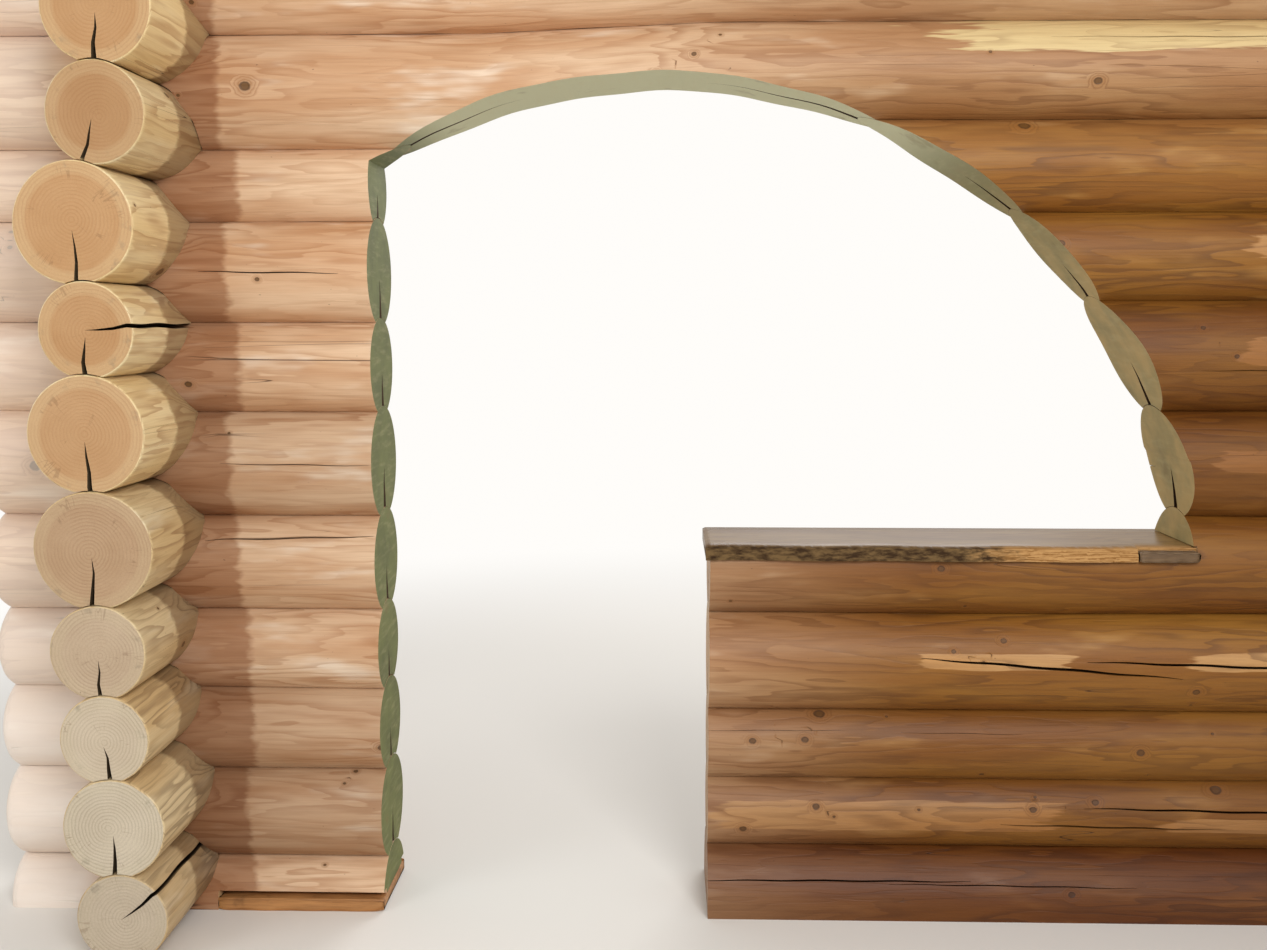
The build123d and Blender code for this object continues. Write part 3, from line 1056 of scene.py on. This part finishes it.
def paint_opening(piece):
    """Puts the paint on the faces that the opening's cut left."""
    mesh = piece.data
    mesh.materials.clear()
    mesh.materials.append(wall_wood)
    mesh.materials.append(paint)
    normals = vectors(mesh.polygons, "normal")
    x, _, z = vectors(mesh.polygons, "center").T
    painted = (np.abs(x - jamb_x) < jamb_reach) & (normals[:, 0] > 0.9)
    arcs = (
        (arch_centre_x, arch_centre_z, arch_radius),
        (haunch_centre_x, haunch_centre_z, haunch_radius),
    )
    for arc_x, arc_z, radius in arcs:
        dx, dz = x - arc_x, z - arc_z
        away = np.hypot(dx, dz)
        inward = -(normals[:, 0] * dx + normals[:, 2] * dz) / np.maximum(away, 1e-6)
        painted |= (np.abs(away - radius) < arch_reach) & (inward > 0.85) & (z > counter_low.z)
    mesh.polygons.foreach_set("material_index", painted.astype(np.int32))


left_corner_x, right_corner_x = (corner.offset for corner in courses[0][1])

for log, piece in made:
    piece.name = "round_" + log.name
    mark(log, piece)
    if log.axis == "X":
        paint_opening(piece)
    else:
        piece.data.materials.clear()
        piece.data.materials.append(corner_wood)
    piece.data.polygons.foreach_set("use_smooth", [True] * len(piece.data.polygons))
    piece.data.set_sharp_from_angle(angle=sharp_log_edge)
    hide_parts(log.name)
    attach(piece, "root")


def front_edge(height):
    """Front edge of the CAD slab at a height, as places along it and across it."""
    points = node_points("counter_slab")
    edge = points[(np.abs(points[:, 2] - height) < 1e-4) & (points[:, 1] < -0.12)]
    return edge[np.argsort(edge[:, 0])].T[:2]


def live_edge_slab():
    """The counter: flat and varnished above, with a rough waney front edge."""
    low, high = counter_low, counter_high
    top_x, top_y = front_edge(high.z)
    foot_x, foot_y = front_edge(low.z)
    phases = np.random.default_rng(7).uniform(0, 2 * pi, 12)
    rings, barks = [], []
    for x in np.linspace(low.x, high.x, slab_stations):
        ease = 0.004 * max(0.0, 1 - (x - low.x) / 0.006) ** 2
        top = np.interp(x, top_x, top_y)
        foot = np.interp(x, foot_x, foot_y)
        if x > block_low.x:
            foot = max(foot, block_high.y)
            top = max(top, foot)
        profile = [(high.y, low.z + ease), (high.y, high.z - 0.004), (high.y - 0.004, high.z - ease)]
        bark = [0, 0, 0]
        for y in np.linspace(high.y - 0.05, top + 0.03, 9):
            profile.append((y, high.z - ease - 0.0006 * (1 + sin(17 * x + phases[0] + 9 * y))))
            bark.append(0)
        for t in np.linspace(0.04, 1, 11):
            wave = 0.0016 * sin(61 * x + phases[1] + 3 * t) + 0.0012 * sin(143 * x + phases[2] + 5 * t)
            wave += 0.0008 * sin(310 * x + phases[3] + 8 * t)
            bulge = 0.0035 * sin(pi * t)
            y = top + (foot - top) * t - bulge + abs(wave) + 0.001
            profile.append((max(y, low.y), high.z - ease - 0.003 - (high.z - low.z - 0.004 - ease) * t))
            bark.append(1)
        for y in np.linspace(foot + 0.03, high.y - 0.05, 5):
            profile.append((y, low.z + ease))
            bark.append(0)
        rings.append(np.array([(x, y, z) for y, z in profile]))
        barks += bark
    piece = mesh_object("live_edge_slab", *tube(rings))
    store(piece.data, "bark", barks)
    piece.data.materials.append(slab_wood())
    piece.data.set_sharp_from_angle(angle=sharp_board_edge)
    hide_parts("counter_slab")
    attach(piece, "root")


def worn_block(name, node, material, easing, bow):
    """A sawn board or block with worn edges, in the box of its node."""
    low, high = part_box(node)
    phases = np.random.default_rng(len(name)).uniform(0, 2 * pi, 8)
    rings = []
    for t in np.linspace(0, 1, board_stations):
        x = low.x + (high.x - low.x) * t
        end = easing * max(0.0, 1 - min(t, 1 - t) * 14) ** 2
        points = []
        corners = ((low.y, low.z), (high.y, low.z), (high.y, high.z), (low.y, high.z))
        for corner, (y, z) in enumerate(corners):
            inward_y = 1 if y == low.y else -1
            inward_z = 1 if z == low.z else -1
            e = easing * (1 + 0.4 * sin(23 * t + phases[corner])) + end
            wave = bow * (1 + sin(5 * t + phases[4 + corner % 2])) / 2
            for a in np.linspace(0, pi / 2, 4):
                a = pi / 2 - a if corner % 2 == 0 else a
                dy, dz = e * (1 - cos(a)) + end, e * (1 - sin(a)) + end
                points.append((x, y + inward_y * (dy + wave), z + inward_z * dz))
        rings.append(np.array(points))
    piece = mesh_object(name, *tube(rings))
    piece.data.materials.append(material)
    piece.data.set_sharp_from_angle(angle=sharp_board_edge)
    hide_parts(node)
    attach(piece, "root")


live_edge_slab()
dark_block = board_wood("weathered_block_wood", "7a6040", "5b4329", "2f2115")
worn_block("worn_edge_block", "counter_edge_block", dark_block, 0.003, 0.0012)
sole_wood = board_wood("sole_board_wood", "bd8750", "9c6a3a", "5e3d20")
worn_block("worn_sole_board", "pier_sole_plate", sole_wood, 0.003, 0.001)


# Floor, light and camera
def seen_directly(tree):
    """1 for the rays that show a background: from the camera, or by way of gloss or glass."""
    path = tree.nodes.new("ShaderNodeLightPath")
    share = path.outputs["Is Camera Ray"]
    for ray in ("Is Glossy Ray", "Is Transmission Ray"):
        larger = tree.nodes.new("ShaderNodeMath")
        larger.operation = "MAXIMUM"
        tree.links.new(share, larger.inputs[0])
        tree.links.new(path.outputs[ray], larger.inputs[1])
        share = larger.outputs[0]
    return share


floor_reach = 14
studio_white = (1, 0.98, 0.95, 1)
white_from = 2.6
white_to = 5.5
floor_corners = [(-1, -1, 0), (1, -1, 0), (1, 1, 0), (-1, 1, 0)]
floor = mesh_object("floor", np.array(floor_corners) * floor_reach, [(0, 1, 2, 3)])
floor_look = Graph("pale_floor")
floor.data.materials.append(floor_look.finish(colour("e6e3de"), 0.9))
floor_tree = floor_look.tree
floor_place = floor_look.split(floor_look.coordinates())
white_share = floor_look.fade(floor_look.length(*floor_place[:2]), white_from, white_to)
white_share = floor_look.times(white_share, seen_directly(floor_tree))
white = floor_tree.nodes.new("ShaderNodeEmission")
white.inputs["Color"].default_value = studio_white
blend = floor_tree.nodes.new("ShaderNodeMixShader")
for output, socket in zip((white_share, floor_look.shader.outputs[0], white.outputs[0]), blend.inputs):
    floor_look.put(output, socket)
floor_look.put(blend.outputs[0], floor_tree.nodes["Material Output"].inputs["Surface"])
world = bpy.data.worlds.new("studio")
bpy.context.scene.world = world
world.use_nodes = True
world_tree = world.node_tree
background = world_tree.nodes["Background"]
background.inputs["Color"].default_value = studio_white
shown = world_tree.nodes.new("ShaderNodeMapRange")
world_tree.links.new(seen_directly(world_tree), shown.inputs["Value"])
shown.inputs["To Min"].default_value = world_light
world_tree.links.new(shown.outputs["Result"], background.inputs["Strength"])


def lamp(name, place, target, size, power):
    """Soft square lamp that faces a point."""
    data = bpy.data.lights.new(name, "AREA")
    data.size = size
    data.energy = power
    light = bpy.data.objects.new(name, data)
    light.location = place
    light.rotation_euler = (Vector(target) - Vector(place)).to_track_quat("-Z", "Y").to_euler()
    bpy.context.scene.collection.objects.link(light)


lamp("key_light", (0.9, -4.4, 3.4), (-1.3, 0, 1.5), 1.8, 150)
lamp("side_light", (-4.4, -3.0, 2.6), (-1.6, 0, 1.3), 1.8, 30)
lamp("back_light", (1.0, 4.8, 4.0), (0.2, 0, 1.2), 2.5, 110)

camera_data = bpy.data.cameras.new("camera")
camera_data.lens = camera_lens
camera_data.sensor_width = camera_sensor
camera = bpy.data.objects.new("camera", camera_data)
camera.location = camera_place
camera.rotation_euler = (pi / 2 - camera_pitch, 0, camera_yaw)
bpy.context.scene.collection.objects.link(camera)
bpy.context.scene.camera = camera
bpy.context.scene.view_settings.view_transform = "Standard"
